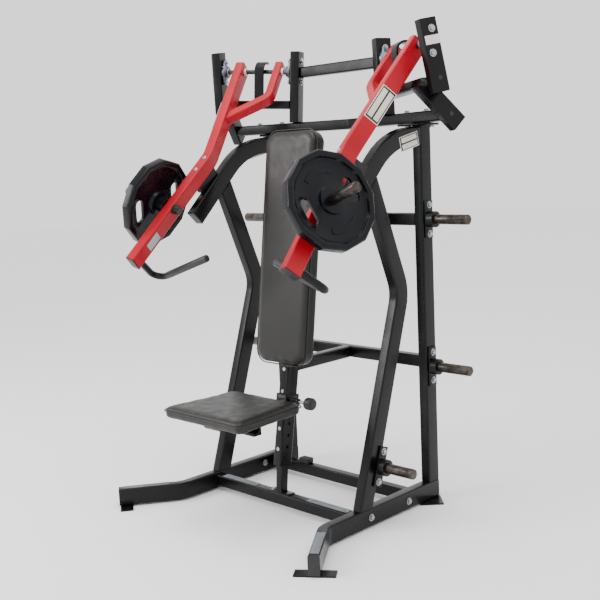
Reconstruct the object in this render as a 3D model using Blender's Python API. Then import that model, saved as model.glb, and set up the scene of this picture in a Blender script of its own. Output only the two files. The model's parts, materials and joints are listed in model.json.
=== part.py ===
"""Plate-loaded chest press machine: a welded frame of box section, two press arms that swing
forward on their own swept shafts, storage horns for plates, and a seat that slides on a post.

Metres, +Z up. The user sits facing -Y, so the user's left side is +X. The origin is on the
floor, below the middle of the machine's box. Depths are given from the front face of the rear
uprights, which stands REAR_Y behind the origin.
"""
import bpy
import bmesh
from math import cos, pi, radians, sin, tan
from mathutils import Matrix, Vector

SIDES = {"left": 1, "right": -1}
X_AXIS = Vector((1, 0, 0))
Z_AXIS = Vector((0, 0, 1))

# Frame
REAR_Y = 0.39156
GAP = 0.0004                 # between pieces that are welded or bolted face to face
TUBE = 0.046                 # width of the frame's box section
TUBE_DEPTH = 0.074
WALL = 0.003
CORNER = 0.007
SIDE_X = 0.433               # middle of each side frame
FOOT_PLATE = 0.006
BASE_TOP = 0.083
BASE_REAR = 0.067
BASE_BEND = -0.6535
LEG_SPLAY = radians(35.5)
LEG_LENGTH = 0.279           # of the splayed front leg, from the bend
UPRIGHT_TOP = 1.6100
PLATE_UNDER_BEAM = 0.0088
BEAM_BOTTOM = 1.6195
BEAM_HEIGHT = 0.0455
BEAM_SWEEP = radians(13)
BEAM_Y = 0.008               # middle of the top beam above the uprights
CROSS_HEIGHT = 0.052
LOW_CROSS_Z = 0.046
FRONT_CROSS_Y = -0.453
REAR_CROSS_Y = -0.092
MID_CROSS_Z = 0.615
UPPER_CROSS_Z = 1.223
UPPER_CROSS_Y = 0.025

# Side frames: the stop hoop and the leg below it
HOOP_START_Z = 1.571
HOOP_KNEE = (-0.190, 1.558)
HOOP_END = (-0.4875, 1.259)
LEG_FOOT_Y = -0.4185
LEG_KNEE = (-0.138, 0.937)
LEG_TOP_LEAN = radians(21.3)

# Arm pivots: the shafts are swept forward and rise towards their outer ends
SWEEP = radians(23)
RISE = radians(3.7)
SHAFT_R = 0.010
BORE_R = 0.0103
POST_WIDTH = 0.044
POST_MID = -0.283            # along the shaft, from the arm's hub
POST_TOP = 0.088
TOWER_MID = 0.1107
TOWER_LEAN = radians(9.8)
TOWER_TOP = 0.088
TOWER_BOTTOM = -0.196
BRIDGE_DEPTH = -0.1505       # tube between post and tower, below the shaft
BRIDGE_HEIGHT = 0.037
BRACE_MID = TOWER_MID - POST_WIDTH / 2 - TUBE / 2 - GAP

# Press arms
ARM_SWING = radians(38.9)    # forward of straight down, when it rests on its stop
ARM_WIDTH = 0.044
ARM_DEPTH = 0.075
ARM_TOP = -0.028
ARM_ELBOW = 0.510
ARM_END = (0.189, 1.075)
BRANCH_X = -0.190
BRANCH_WIDTH = 0.038
BRANCH_DEPTH = 0.050
HANDLE_R = 0.0155
HORN_ALONG = 0.300           # from the elbow, down the lower arm
HORN_R = 0.020
HORN_REACH = 0.2357          # beyond the arm's outer face
HORN_INSET = 0.030           # beyond the arm's inner face
HORN_FORWARD = -0.0155
COLLAR_LENGTH = 0.040
PLATE_R = 0.195
PLATE_RIM = 0.046
PLATE_WEB = 0.016
SLOT_TURN = radians(120)

# Seat and back
POST_LEAN = radians(10)
SEAT_POST = (0.046, 0.070)
SEAT_TOP = 0.512
SEAT_THICK = 0.050
PAD_LEAN = radians(7.8)
PAD_FRONT = (-0.315, 1.54)   # a point on the back pad's front face
PAD_THICK = 0.078

ACROSS = Vector((cos(SWEEP) * cos(RISE), -sin(SWEEP) * cos(RISE), sin(RISE)))
BACK = Vector((sin(SWEEP), cos(SWEEP), 0))
UPWARD = ACROSS.cross(BACK)
ALONG_ARM = -sin(ARM_SWING) * BACK - cos(ARM_SWING) * UPWARD
BEHIND_ARM = cos(ARM_SWING) * BACK - sin(ARM_SWING) * UPWARD


def at(x, y, z):
    """A place whose depth is given from the rear uprights' front face."""
    return Vector((x, y + REAR_Y, z))


HUB = at(0.513, -0.095, 1.912)


def pivot(across, back, up):
    """A place given from the left arm's hub, along and across its shaft."""
    return HUB + across * ACROSS + back * BACK + up * UPWARD


def arm(across, along, behind=0.0):
    """A place given from the left arm's hub, along the arm."""
    return HUB + across * ACROSS + along * ALONG_ARM + behind * BEHIND_ARM


def meet(point, direction, face_point, face_normal):
    """Where the line from point along direction meets a plane."""
    return point + direction * ((face_point - point).dot(face_normal) / direction.dot(face_normal))


# ---------------------------------------------------------------- making and placing solids

def box_section(width, depth, radius, steps=2):
    """Outline of a box with rounded corners, as (width, depth) pairs."""
    outline = []
    for quarter, (right, front) in enumerate(((1, 1), (-1, 1), (-1, -1), (1, -1))):
        for step in range(steps + 1):
            angle = pi / 2 * (quarter + step / steps)
            outline.append((right * (width / 2 - radius) + radius * cos(angle),
                            front * (depth / 2 - radius) + radius * sin(angle)))
    return outline


def circle_section(radius, count=12):
    return [(radius * cos(2 * pi * i / count), radius * sin(2 * pi * i / count)) for i in range(count)]


def stack(rings):
    """A closed solid through rings of the same number of points, capped at both ends."""
    bm = bmesh.new()
    rows = [[bm.verts.new(point) for point in ring] for ring in rings]
    count = len(rows[0])
    for low, high in zip(rows, rows[1:]):
        for i in range(count):
            j = (i + 1) % count
            bm.faces.new((low[i], low[j], high[j], high[i]))
    bm.faces.new(rows[0][::-1])
    bm.faces.new(rows[-1])
    bmesh.ops.recalc_face_normals(bm, faces=bm.faces)
    return bm


def ring_stack(rings):
    """A closed solid like a bushing: the last ring joins the first."""
    bm = bmesh.new()
    rows = [[bm.verts.new(point) for point in ring] for ring in rings]
    count = len(rows[0])
    for k, low in enumerate(rows):
        high = rows[(k + 1) % len(rows)]
        for i in range(count):
            j = (i + 1) % count
            bm.faces.new((low[i], low[j], high[j], high[i]))
    bmesh.ops.recalc_face_normals(bm, faces=bm.faces)
    return bm


def bend_path(points, radius, steps=4):
    """The middle line through points, with an arc of the given radius at each corner."""
    path = [points[0].copy()]
    for before, corner, after in zip(points, points[1:], points[2:]):
        arriving = (corner - before).normalized()
        leaving = (after - corner).normalized()
        turn = arriving.angle(leaving)
        reach = radius * tan(turn / 2)
        first = corner - arriving * reach
        centre = first + (leaving - arriving * arriving.dot(leaving)).normalized() * radius
        axis = arriving.cross(leaving).normalized()
        for step in range(steps + 1):
            path.append(centre + Matrix.Rotation(turn * step / steps, 3, axis) @ (first - centre))
    path.append(points[-1].copy())
    return path


def sections_along(path, side, cuts=(None, None)):
    """Place, side and depth directions of the section at each point of a path.

    The section turns with the path and doesn't twist. An end may be cut by a plane, given by
    its normal, and is square otherwise.
    """
    heads = [(b - a).normalized() for a, b in zip(path, path[1:])]
    tangents = [heads[0]]
    tangents += [(a + b).normalized() for a, b in zip(heads, heads[1:])]
    tangents.append(heads[-1])
    side = (side - tangents[0] * side.dot(tangents[0])).normalized()
    frames = []
    for k, (place, tangent) in enumerate(zip(path, tangents)):
        if k:
            side = tangents[k - 1].rotation_difference(tangent) @ side
        normal = tangent
        if k == 0 and cuts[0]:
            normal = cuts[0]
        if k == len(path) - 1 and cuts[1]:
            normal = cuts[1]
        frames.append((place, side.copy(), tangent.cross(side), tangent, normal))
    return frames


def section_ring(frame, outline, inset=0.0):
    """An outline set into its frame, slid along the tangent onto the cutting plane."""
    place, side, depth, tangent, normal = frame
    ring = []
    for across, deep in outline:
        point = place + side * across + depth * deep
        slide = (place - point).dot(normal) / tangent.dot(normal)
        ring.append(point + tangent * (slide + inset))
    return ring


def tube(path, side, outer, inner, cuts=(None, None)):
    """A hollow tube along a path: open at the path's start and closed at its end."""
    frames = sections_along(path, side, cuts)
    inside = [section_ring(frame, inner) for frame in frames]
    inside[-1] = section_ring(frames[-1], inner, -WALL)
    outside = [section_ring(frame, outer) for frame in frames]
    return stack(inside[::-1] + outside)


def box_tube(path, side, width=TUBE, depth=TUBE_DEPTH, cuts=(None, None)):
    inner = box_section(width - 2 * WALL, depth - 2 * WALL, CORNER - WALL)
    return tube(path, side, box_section(width, depth, CORNER), inner, cuts)


def bar(path, side, outline, cuts=(None, None)):
    """A solid bar along a path."""
    return stack([section_ring(frame, outline) for frame in sections_along(path, side, cuts)])


def axes_for(direction, side=None):
    """Two directions square to a third, the first one as near to side as it can be."""
    side = side or (Z_AXIS if abs(direction.z) < 0.9 else X_AXIS)
    side = (side - direction * side.dot(direction)).normalized()
    return side, direction.cross(side)


def turned_rings(start, direction, profile, count, side=None):
    """Rings about an axis, for a profile of (radius, distance along the axis) pairs."""
    first, second = axes_for(direction, side)
    rings = []
    for radius, along in profile:
        centre = start + direction * along
        rings.append([centre + first * a + second * b for a, b in circle_section(radius, count)])
    return rings


def place(name, bm, side, colour, roughness, metallic, origin=None):
    """Make the object; a right-hand piece is the left-hand piece mirrored in X."""
    if side < 0:
        bmesh.ops.transform(bm, matrix=Matrix.Scale(-1, 4, X_AXIS), verts=bm.verts)
        bmesh.ops.reverse_faces(bm, faces=bm.faces)
    home = mirrored(origin, side) if origin else Vector((0, 0, 0))
    bmesh.ops.translate(bm, vec=-home, verts=bm.verts)
    mesh = bpy.data.meshes.new(name)
    bm.to_mesh(mesh)
    bm.free()
    mesh.shade_smooth()
    mesh.set_sharp_from_angle(angle=radians(35))
    finish = bpy.data.materials.new(name)
    finish.use_nodes = True
    shader = finish.node_tree.nodes["Principled BSDF"]
    shader.inputs["Base Color"].default_value = (*colour, 1)
    shader.inputs["Roughness"].default_value = roughness
    shader.inputs["Metallic"].default_value = metallic
    mesh.materials.append(finish)
    made = bpy.data.objects.new(name, mesh)
    made.location = home
    bpy.context.collection.objects.link(made)
    return made


def mirrored(point, side):
    return Vector((point.x * side, point.y, point.z))


def combine(target, bm, operation, label):
    """Join a shape to an object, or cut it away, with a Boolean modifier."""
    mesh = bpy.data.meshes.new(label)
    bm.to_mesh(mesh)
    bm.free()
    cutter = bpy.data.objects.new(label, mesh)
    cutter.hide_render = True
    cutter.display_type = "WIRE"
    bpy.context.collection.objects.link(cutter)
    step = target.modifiers.new(label, "BOOLEAN")
    step.operation = operation
    step.solver = "EXACT"
    step.object = cutter
    cutter.parent = target
    cutter.matrix_parent_inverse = Matrix.Translation(target.location).inverted()


def drill(target, start, end, radius, label, count=16):
    axis = end - start
    rings = turned_rings(start, axis.normalized(), ((radius, 0), (radius, axis.length)), count)
    combine(target, stack(rings), "DIFFERENCE", label)


def block(centre, size, axes=None):
    """A rectangular block, square to the given axes."""
    along_x, along_y, along_z = axes or (X_AXIS, Vector((0, 1, 0)), Z_AXIS)
    half = Vector(size) / 2
    rings = []
    for level in (-1, 1):
        middle = centre + along_z * (half.z * level)
        rings.append([middle + along_x * (half.x * i) + along_y * (half.y * j)
                      for i, j in ((-1, -1), (1, -1), (1, 1), (-1, 1))])
    return stack(rings)


BLACK = ((0.012, 0.013, 0.017), 0.38, 0.0)
RED = ((0.42, 0.012, 0.022), 0.35, 0.0)
RUBBER = ((0.010, 0.010, 0.011), 0.75, 0.0)
STEEL = ((0.20, 0.18, 0.17), 0.40, 0.9)
ZINC = ((0.55, 0.56, 0.57), 0.35, 0.9)
DARK_STEEL = ((0.06, 0.06, 0.065), 0.35, 0.9)
VINYL = ((0.045, 0.042, 0.038), 0.60, 0.0)
IRON = ((0.014, 0.015, 0.020), 0.30, 0.0)


# ---------------------------------------------------------------- base and side frames

def base_tube():
    middle = (FOOT_PLATE + GAP + BASE_TOP) / 2
    bend = at(SIDE_X, BASE_BEND, middle)
    end = bend + Vector((sin(LEG_SPLAY), -cos(LEG_SPLAY), 0)) * LEG_LENGTH
    path = bend_path([at(SIDE_X, BASE_REAR, middle), bend, end], 0.09)
    return box_tube(path[::-1], X_AXIS, depth=BASE_TOP - FOOT_PLATE - GAP)


def front_foot_plate():
    outward = Vector((sin(LEG_SPLAY), -cos(LEG_SPLAY), 0))
    front = at(SIDE_X, BASE_BEND, FOOT_PLATE / 2) + outward * LEG_LENGTH
    across = Vector((cos(LEG_SPLAY), sin(LEG_SPLAY), 0))
    return block(front - outward * 0.0275, (0.158, 0.055, FOOT_PLATE), (across, -outward, Z_AXIS))


def rear_foot_plate():
    across = Vector((1, -1, 0)).normalized()
    return block(at(0.455, 0.003, FOOT_PLATE / 2), (0.110, 0.100, FOOT_PLATE),
                 (across, Z_AXIS.cross(across), Z_AXIS))


def rear_upright():
    """A box upright whose top carries the plate that the top beam is bolted to."""
    foot = at(SIDE_X, 0.035, BASE_TOP + GAP)
    top = at(SIDE_X, 0.035, UPRIGHT_TOP)
    frames = sections_along([foot, top], X_AXIS)
    inner = box_section(TUBE - 2 * WALL, 0.070 - 2 * WALL, CORNER - WALL)
    outer = box_section(TUBE, 0.070, CORNER)
    plate_foot = (top + Vector((-0.012, -0.005, 0)), *frames[1][1:])
    plate_top = (plate_foot[0] + Z_AXIS * PLATE_UNDER_BEAM, *frames[1][1:])
    plate = box_section(0.155, 0.088, CORNER)
    return stack([section_ring(frames[1], inner, -WALL), section_ring(frames[0], inner),
                  section_ring(frames[0], outer), section_ring(frames[1], outer),
                  section_ring(plate_foot, plate), section_ring(plate_top, plate)])


def hoop_points():
    start = at(SIDE_X, -GAP, HOOP_START_Z)
    return [start, at(SIDE_X, *HOOP_KNEE), at(SIDE_X, *HOOP_END)]


def hoop_direction():
    points = hoop_points()
    return (points[2] - points[1]).normalized()


def stop_hoop():
    upright_face = Vector((0, 1, 0))
    return box_tube(bend_path(hoop_points(), 0.33, 6), X_AXIS, cuts=(upright_face, None))


def hoop_leg():
    """The bent leg from the base tube to the underside of the stop hoop."""
    knee = at(SIDE_X, *LEG_KNEE)
    under = hoop_direction().cross(X_AXIS)
    if under.z > 0:
        under = -under
    upward = Vector((0, -sin(LEG_TOP_LEAN), cos(LEG_TOP_LEAN)))
    face = at(SIDE_X, *HOOP_END) + under * (TUBE_DEPTH / 2 + GAP)
    top = meet(knee, upward, face, under)
    foot = at(SIDE_X, LEG_FOOT_Y, BASE_TOP + GAP)
    return box_tube(bend_path([foot, knee, top], 0.16, 6), X_AXIS, cuts=(Z_AXIS, under))


def top_beam():
    slope = tan(BEAM_SWEEP)
    middle = BEAM_BOTTOM + BEAM_HEIGHT / 2
    vertex = at(0, BEAM_Y + slope * SIDE_X, middle)
    outward = Vector((1, -slope, 0)).normalized()
    face = pivot(BRACE_MID - TUBE / 2 - GAP, 0, 0)
    end = meet(vertex, outward, face, ACROSS)
    far_end = mirrored(end, -1)
    path = bend_path([far_end, vertex, end], 0.05, 3)
    far_cut = mirrored(ACROSS, -1)
    return box_tube(path, Z_AXIS, width=BEAM_HEIGHT, depth=TUBE_DEPTH, cuts=(far_cut, ACROSS))


def cross_tube(y, z, height, reach):
    path = [at(-reach, y, z), at(reach, y, z)]
    return box_tube(path, Z_AXIS, width=height, depth=TUBE)


# ---------------------------------------------------------------- arm pivots

def inner_post():
    top = pivot(POST_MID, 0, POST_TOP)
    foot = meet(top, UPWARD, at(0, 0, BEAM_BOTTOM + BEAM_HEIGHT + GAP), Z_AXIS)
    return box_tube([foot, top], ACROSS, width=POST_WIDTH, cuts=(Z_AXIS, None))


def tower_axis():
    return UPWARD * cos(TOWER_LEAN) - BACK * sin(TOWER_LEAN)


def outer_tower():
    middle = pivot(TOWER_MID, 0, 0)
    path = [middle + tower_axis() * TOWER_BOTTOM, middle + tower_axis() * TOWER_TOP]
    return box_tube(path, ACROSS, width=POST_WIDTH)


def tower_cross_tube():
    inner_end = POST_MID + POST_WIDTH / 2 + GAP
    outer_end = TOWER_MID - POST_WIDTH / 2 - GAP
    path = [pivot(inner_end, 0, BRIDGE_DEPTH), pivot(outer_end, 0, BRIDGE_DEPTH)]
    return box_tube(path, UPWARD, width=BRIDGE_HEIGHT, depth=0.072)


def diagonal_brace():
    """Carries the outer end of the bridge tube down and back to the end of the top beam."""
    middle = BRACE_MID
    low = pivot(middle, 0.134, -0.312)
    upward = (UPWARD - BACK).normalized()
    under_bridge = pivot(middle, 0, BRIDGE_DEPTH - BRIDGE_HEIGHT / 2 - GAP)
    top = meet(low, upward, under_bridge, UPWARD)
    return box_tube([low, top], ACROSS, width=TUBE - 0.001, cuts=(None, UPWARD))


def shaft_hook():
    """A flat bar that stands on the bridge tube and curls back over the shaft."""
    foot = BRIDGE_DEPTH + BRIDGE_HEIGHT / 2 + GAP
    points = [pivot(-0.109, -0.034, foot), pivot(-0.109, -0.034, 0.046), pivot(-0.109, 0.026, 0.040)]
    tip_cut = (BACK + UPWARD * 0.7).normalized()
    return bar(bend_path(points, 0.042, 5), ACROSS, box_section(TUBE, 0.010, 0.002), (None, tip_cut))


def flange_bearing(face, outward):
    """A two-bolt flange bearing seated on a face, with its flange along the post."""
    count = 24
    flange = []
    for i in range(count):
        angle = 2 * pi * i / count
        round_middle = 0.031
        lug = 0.046 * abs(cos(angle)) ** 5
        flange.append(max(round_middle, lug + 0.012))
    along, across = axes_for(outward, UPWARD)

    def ring(radii, level):
        points = []
        for i, radius in enumerate(radii):
            angle = 2 * pi * i / count
            points.append(face + outward * level + along * (radius * cos(angle)) + across * (radius * sin(angle)))
        return points

    bore = [BORE_R] * count
    return ring_stack([ring(bore, GAP), ring(flange, GAP), ring(flange, 0.013), ring([0.029] * count, 0.014),
                       ring([0.026] * count, 0.026), ring([0.0155] * count, 0.0262),
                       ring([0.0155] * count, 0.031), ring(bore, 0.031)])


def pivot_shaft():
    start = pivot(POST_MID + POST_WIDTH / 2 + 2 * GAP, 0, 0)
    length = TOWER_MID - POST_MID - POST_WIDTH - 4 * GAP
    chamfer = 0.001
    profile = ((SHAFT_R - chamfer, 0), (SHAFT_R, chamfer), (SHAFT_R, length - chamfer),
               (SHAFT_R - chamfer, length))
    return stack(turned_rings(start, ACROSS, profile, 24))


# ---------------------------------------------------------------- press arms

def elbow():
    return arm(0, ARM_ELBOW)


def lower_direction():
    return (arm(*ARM_END) - elbow()).normalized()


def lower_outward():
    """Square to the lower arm's outer face."""
    return lower_direction().cross(BEHIND_ARM).normalized()


def press_arm():
    path = bend_path([arm(0, ARM_TOP), elbow(), arm(*ARM_END)], 0.12)
    return box_tube(path[::-1], ACROSS, width=ARM_WIDTH, depth=ARM_DEPTH)


def arm_branch():
    """The second leg of the arm's fork, from the arm's inner face up to the shaft."""
    knee = arm(BRANCH_X, 0.163)
    root = arm(0, 0.292)
    inner_face = arm(-ARM_WIDTH / 2 - GAP, 0)
    start = meet(knee, root - knee, inner_face, ACROSS)
    path = bend_path([start, knee, arm(BRANCH_X, -0.040)], 0.05, 3)
    return box_tube(path, BEHIND_ARM, width=BRANCH_DEPTH, depth=BRANCH_WIDTH, cuts=(ACROSS, None))


def arm_bumper():
    """A rubber block on the back of the arm that closes the space down to the stop hoop."""
    up_face = hoop_direction().cross(X_AXIS)
    if up_face.z < 0:
        up_face = -up_face
    hoop_face = at(SIDE_X, *HOOP_END) + up_face * (TUBE_DEPTH / 2 + 0.0008)
    middle = elbow() + lower_direction() * 0.075
    rings = []
    outline = box_section(0.038, 0.120, 0.006)
    across = lower_outward()
    arm_ring = [middle + across * a + lower_direction() * b + BEHIND_ARM * (ARM_DEPTH / 2 + GAP)
                for a, b in outline]
    rings.append(arm_ring)
    rings.append([meet(point, BEHIND_ARM, hoop_face, up_face) for point in arm_ring])
    return stack(rings)


def press_handle():
    """A bent round handle: out of the back of the arm, then inwards as the grip."""
    root = arm(0.180, 1.046, ARM_DEPTH / 2 + GAP)
    corner = arm(0.172, 1.040, 0.1945)
    tip = arm(-0.130, 1.007, 0.033)
    path = bend_path([root, corner, tip], 0.045, 6)
    inner = circle_section(HANDLE_R - WALL)
    return tube(path, ACROSS, circle_section(HANDLE_R), inner, (BEHIND_ARM, None))


def horn_base():
    """The horn's axis where it crosses the lower arm's middle."""
    return elbow() + lower_direction() * HORN_ALONG + BEHIND_ARM * HORN_FORWARD


def weight_horn():
    outer_face = ARM_WIDTH / 2
    start = horn_base() - lower_outward() * (outer_face + HORN_INSET)
    face = outer_face * 2 + HORN_INSET
    end = face + HORN_REACH
    collar_r = 0.033
    profile = ((HORN_R - 0.002, 0), (HORN_R, 0.002), (HORN_R, face + GAP), (collar_r, face + GAP),
               (collar_r, face + COLLAR_LENGTH), (HORN_R, face + COLLAR_LENGTH),
               (HORN_R, end - 0.003), (HORN_R - 0.003, end))
    return stack(turned_rings(start, lower_outward(), profile, 24))


def plate_radius(angle, radius):
    """Radius of a twelve-sided plate whose flats lie at radius."""
    sector = pi / 6
    return radius / cos((angle + sector / 2) % sector - sector / 2) * cos(sector / 2)


def weight_plate():
    count = 48
    outward = lower_outward()
    along, across = axes_for(outward, BEHIND_ARM)
    seat = horn_base() + outward * (ARM_WIDTH / 2 + COLLAR_LENGTH + GAP)

    def ring(radius, level, sided):
        points = []
        for i in range(count):
            angle = 2 * pi * i / count
            reach = plate_radius(angle, radius) if sided else radius
            points.append(seat + outward * level + along * (reach * cos(angle)) + across * (reach * sin(angle)))
        return points

    middle = PLATE_RIM / 2
    web = PLATE_WEB / 2
    bore = HORN_R + 0.0004
    return ring_stack([
        ring(bore, 0, False), ring(0.052, 0, False), ring(0.056, middle - web, False),
        ring(0.163, middle - web, False), ring(0.170, 0.002, True), ring(PLATE_R - 0.006, 0, True),
        ring(PLATE_R, 0.006, True), ring(PLATE_R, PLATE_RIM - 0.006, True),
        ring(PLATE_R - 0.006, PLATE_RIM, True), ring(0.170, PLATE_RIM - 0.002, True),
        ring(0.163, middle + web, False), ring(0.056, middle + web, False),
        ring(0.052, PLATE_RIM, False), ring(bore, PLATE_RIM, False)])


def plate_slot(hand):
    """A rounded slot through the web, to carry the plate by."""
    outward = lower_outward()
    along, across = axes_for(outward, lower_direction())
    middle = horn_base() + outward * (ARM_WIDTH / 2 + COLLAR_LENGTH + PLATE_RIM / 2)
    spoke = across * cos(SLOT_TURN) + along * sin(SLOT_TURN)
    chord = spoke.cross(outward)
    centre = middle + spoke * (0.110 * hand)
    outline = box_section(0.105, 0.042, 0.020, 3)
    rings = []
    for level in (-PLATE_WEB, PLATE_WEB):
        rings.append([centre + outward * level + chord * a + spoke * b for a, b in outline])
    return stack(rings)


# ---------------------------------------------------------------- storage horns

def storage_horn(y, z, face_x, reach, plate_height, lean=0.0):
    """A plate bolted to the frame with a round horn that stands out of it along +X."""
    count = 20
    radius = 0.021
    collar = 0.034
    upward = Vector((0, sin(lean), cos(lean)))
    forward = X_AXIS.cross(upward)
    start = at(face_x + GAP, y, z)

    def ring(outline, level):
        return [start + X_AXIS * level + forward * a + upward * b for a, b in outline]

    plate = box_section(0.048, plate_height, 0.006, 4)
    offset = pi / 2 / (count / 4) / 2
    turn = [(cos(offset + 2 * pi * i / count), sin(offset + 2 * pi * i / count)) for i in range(count)]

    def disc(size):
        return [(a * size, b * size) for a, b in turn]

    end = reach - face_x
    return stack([ring(plate, 0), ring(plate, 0.008), ring(disc(collar * 0.68), 0.0081),
                  ring(disc(collar * 0.68), 0.012), ring(disc(collar), 0.012), ring(disc(collar), 0.044),
                  ring(disc(radius), 0.044), ring(disc(radius), end - 0.003), ring(disc(radius - 0.003), end)])


# ---------------------------------------------------------------- seat and back

def post_point(z):
    """On the seat post's middle line, at a height."""
    return at(0, -0.4295 + (z - 0.261) * tan(POST_LEAN), z)


def post_direction():
    return Vector((0, sin(POST_LEAN), cos(POST_LEAN)))


def seat_guide_post():
    """A narrow foot on the front cross tube, and the wide leaning part that the seat slides on."""
    foot = at(0, FRONT_CROSS_Y, LOW_CROSS_Z + CROSS_HEIGHT / 2 + GAP)
    neck = post_point(0.190)
    top = post_point(0.610)
    lean = post_direction()
    depth = lean.cross(X_AXIS)
    upright = (X_AXIS, Z_AXIS.cross(X_AXIS), Z_AXIS, Z_AXIS)
    leaning = (X_AXIS, depth, lean, lean)
    foot_frame = (foot, *upright)
    neck_frame = (neck, *leaning)
    top_frame = (top, *leaning)
    narrow = box_section(0.036, 0.040, 0.005)
    narrow_bore = box_section(0.030, 0.034, 0.002)
    wide = box_section(*SEAT_POST, CORNER)
    wide_bore = box_section(SEAT_POST[0] - 2 * WALL, SEAT_POST[1] - 2 * WALL, CORNER - WALL)
    return stack([section_ring(top_frame, wide_bore, -WALL), section_ring(neck_frame, wide_bore, WALL),
                  section_ring(neck_frame, narrow_bore, WALL), section_ring(foot_frame, narrow_bore),
                  section_ring(foot_frame, narrow), section_ring(neck_frame, narrow),
                  section_ring(neck_frame, wide), section_ring(top_frame, wide)])


def seat_carriage():
    """The sleeve on the seat post, with the arm and the cross bar that carry the seat."""
    low = post_point(0.412)
    lean = post_direction()
    length = 0.086
    outer = box_section(SEAT_POST[0] + 0.0135, SEAT_POST[1] + 0.0135, 0.005)
    depth = lean.cross(X_AXIS)
    rings = []
    for level in (0, length):
        rings.append(section_ring((low + lean * level, X_AXIS, depth, lean, lean), outer))
    return stack(rings)


def carriage_bore():
    lean = post_direction()
    depth = lean.cross(X_AXIS)
    outline = box_section(SEAT_POST[0] + 0.0014, SEAT_POST[1] + 0.0014, CORNER)
    rings = []
    for z in (0.380, 0.540):
        rings.append(section_ring((post_point(z), X_AXIS, depth, lean, lean), outline))
    return stack(rings)


PIN_Z = 0.470


def pin_profile(*pairs):
    """Rings about the seat pin's axis, which lies along X through the seat post."""
    start = post_point(PIN_Z)
    return turned_rings(start, X_AXIS, pairs, 16)


def seat_pin():
    return stack(pin_profile((0.005, 0.0252), (0.006, 0.0262), (0.006, 0.112), (0.016, 0.1125),
                             (0.026, 0.118), (0.027, 0.124), (0.027, 0.146), (0.024, 0.153)))


def slab(centre, right, up, width_low, width_high, height, thickness, corner, crown):
    """A pad: a rounded outline, wider at one end, with its long edges eased."""
    outward = right.cross(up)
    outline = box_section(1.0, height, corner, 4)

    def ring(inset, level):
        points = []
        for a, b in outline:
            share = b / height + 0.5
            width = width_low + (width_high - width_low) * share
            half = width / 2
            across = a + (half - 0.5 if a > 0 else 0.5 - half)
            reach = Vector((across, b))
            shrink = (reach.length - inset) / reach.length
            points.append(centre + right * (across * shrink) + up * (b * shrink) + outward * level)
        return points

    return stack([ring(0.004, 0), ring(0, 0.006), ring(0, thickness - crown),
                  ring(crown * 0.35, thickness - crown * 0.35), ring(crown, thickness)])


def seat_pad():
    front_y, rear_y = -0.890, -0.505
    middle = at(0, (front_y + rear_y) / 2, SEAT_TOP - SEAT_THICK)
    return slab(middle, X_AXIS, Vector((0, 1, 0)), 0.480, 0.420, rear_y - front_y, SEAT_THICK, 0.030, 0.012)


def pad_back(z):
    """On the back pad's back face, at a height."""
    front_y = PAD_FRONT[0] + (z - PAD_FRONT[1]) * tan(PAD_LEAN)
    return at(0, front_y + PAD_THICK / cos(PAD_LEAN), z)


def pad_up():
    return Vector((0, sin(PAD_LEAN), cos(PAD_LEAN)))


def back_pad():
    low = pad_back(0.620)
    high = pad_back(1.615)
    return slab((low + high) / 2, X_AXIS, pad_up(), 0.300, 0.300, (high - low).length, PAD_THICK, 0.055, 0.015)


def back_post():
    depth = 0.050
    behind = pad_up().cross(X_AXIS) * (depth / 2 + GAP)
    if behind.y < 0:
        behind = -behind
    foot = pad_back(MID_CROSS_Z + CROSS_HEIGHT / 2 + GAP) + behind
    top = pad_back(1.560) + behind
    foot = meet(top, pad_up(), at(0, 0, MID_CROSS_Z + CROSS_HEIGHT / 2 + GAP), Z_AXIS)
    return box_tube([foot, top], X_AXIS, depth=depth, cuts=(Z_AXIS, None))


def back_strut():
    """From the back of the back post to the upper cross tube."""
    normal = pad_up().cross(X_AXIS)
    if normal.y < 0:
        normal = -normal
    face = pad_back(UPPER_CROSS_Z) + normal * (0.050 + 2 * GAP)
    rear = at(0, UPPER_CROSS_Y - TUBE / 2 - GAP, UPPER_CROSS_Z)
    start = meet(rear, Vector((0, -1, 0)), face, normal)
    return box_tube([start, rear], X_AXIS, depth=0.050, cuts=(normal, None))


def centre_tube():
    """From the back of the seat post to the mid cross tube; the back post stands on it."""
    normal = post_direction().cross(X_AXIS)
    if normal.y < 0:
        normal = -normal
    face = post_point(0.600) + normal * (SEAT_POST[1] / 2 + GAP)
    middle = MID_CROSS_Z
    rear = at(0, UPPER_CROSS_Y - TUBE / 2 - GAP, middle)
    start = meet(rear, Vector((0, -1, 0)), face, normal)
    return box_tube([start, rear], X_AXIS, depth=CROSS_HEIGHT, cuts=(normal, None))


def tie_reach():
    """Half the length of the tie beam, where its middle meets the inner posts."""
    face = pivot(POST_MID - POST_WIDTH / 2 - GAP, 0, 0)
    return meet(at(0, 0.022, 1.887), X_AXIS, face, ACROSS)


def upper_tie_beam():
    end = tie_reach()
    far_end = mirrored(end, -1)
    return box_tube([far_end, end], Z_AXIS, width=0.048, depth=0.040, cuts=(mirrored(ACROSS, -1), ACROSS))


# ---------------------------------------------------------------- assembly

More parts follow.
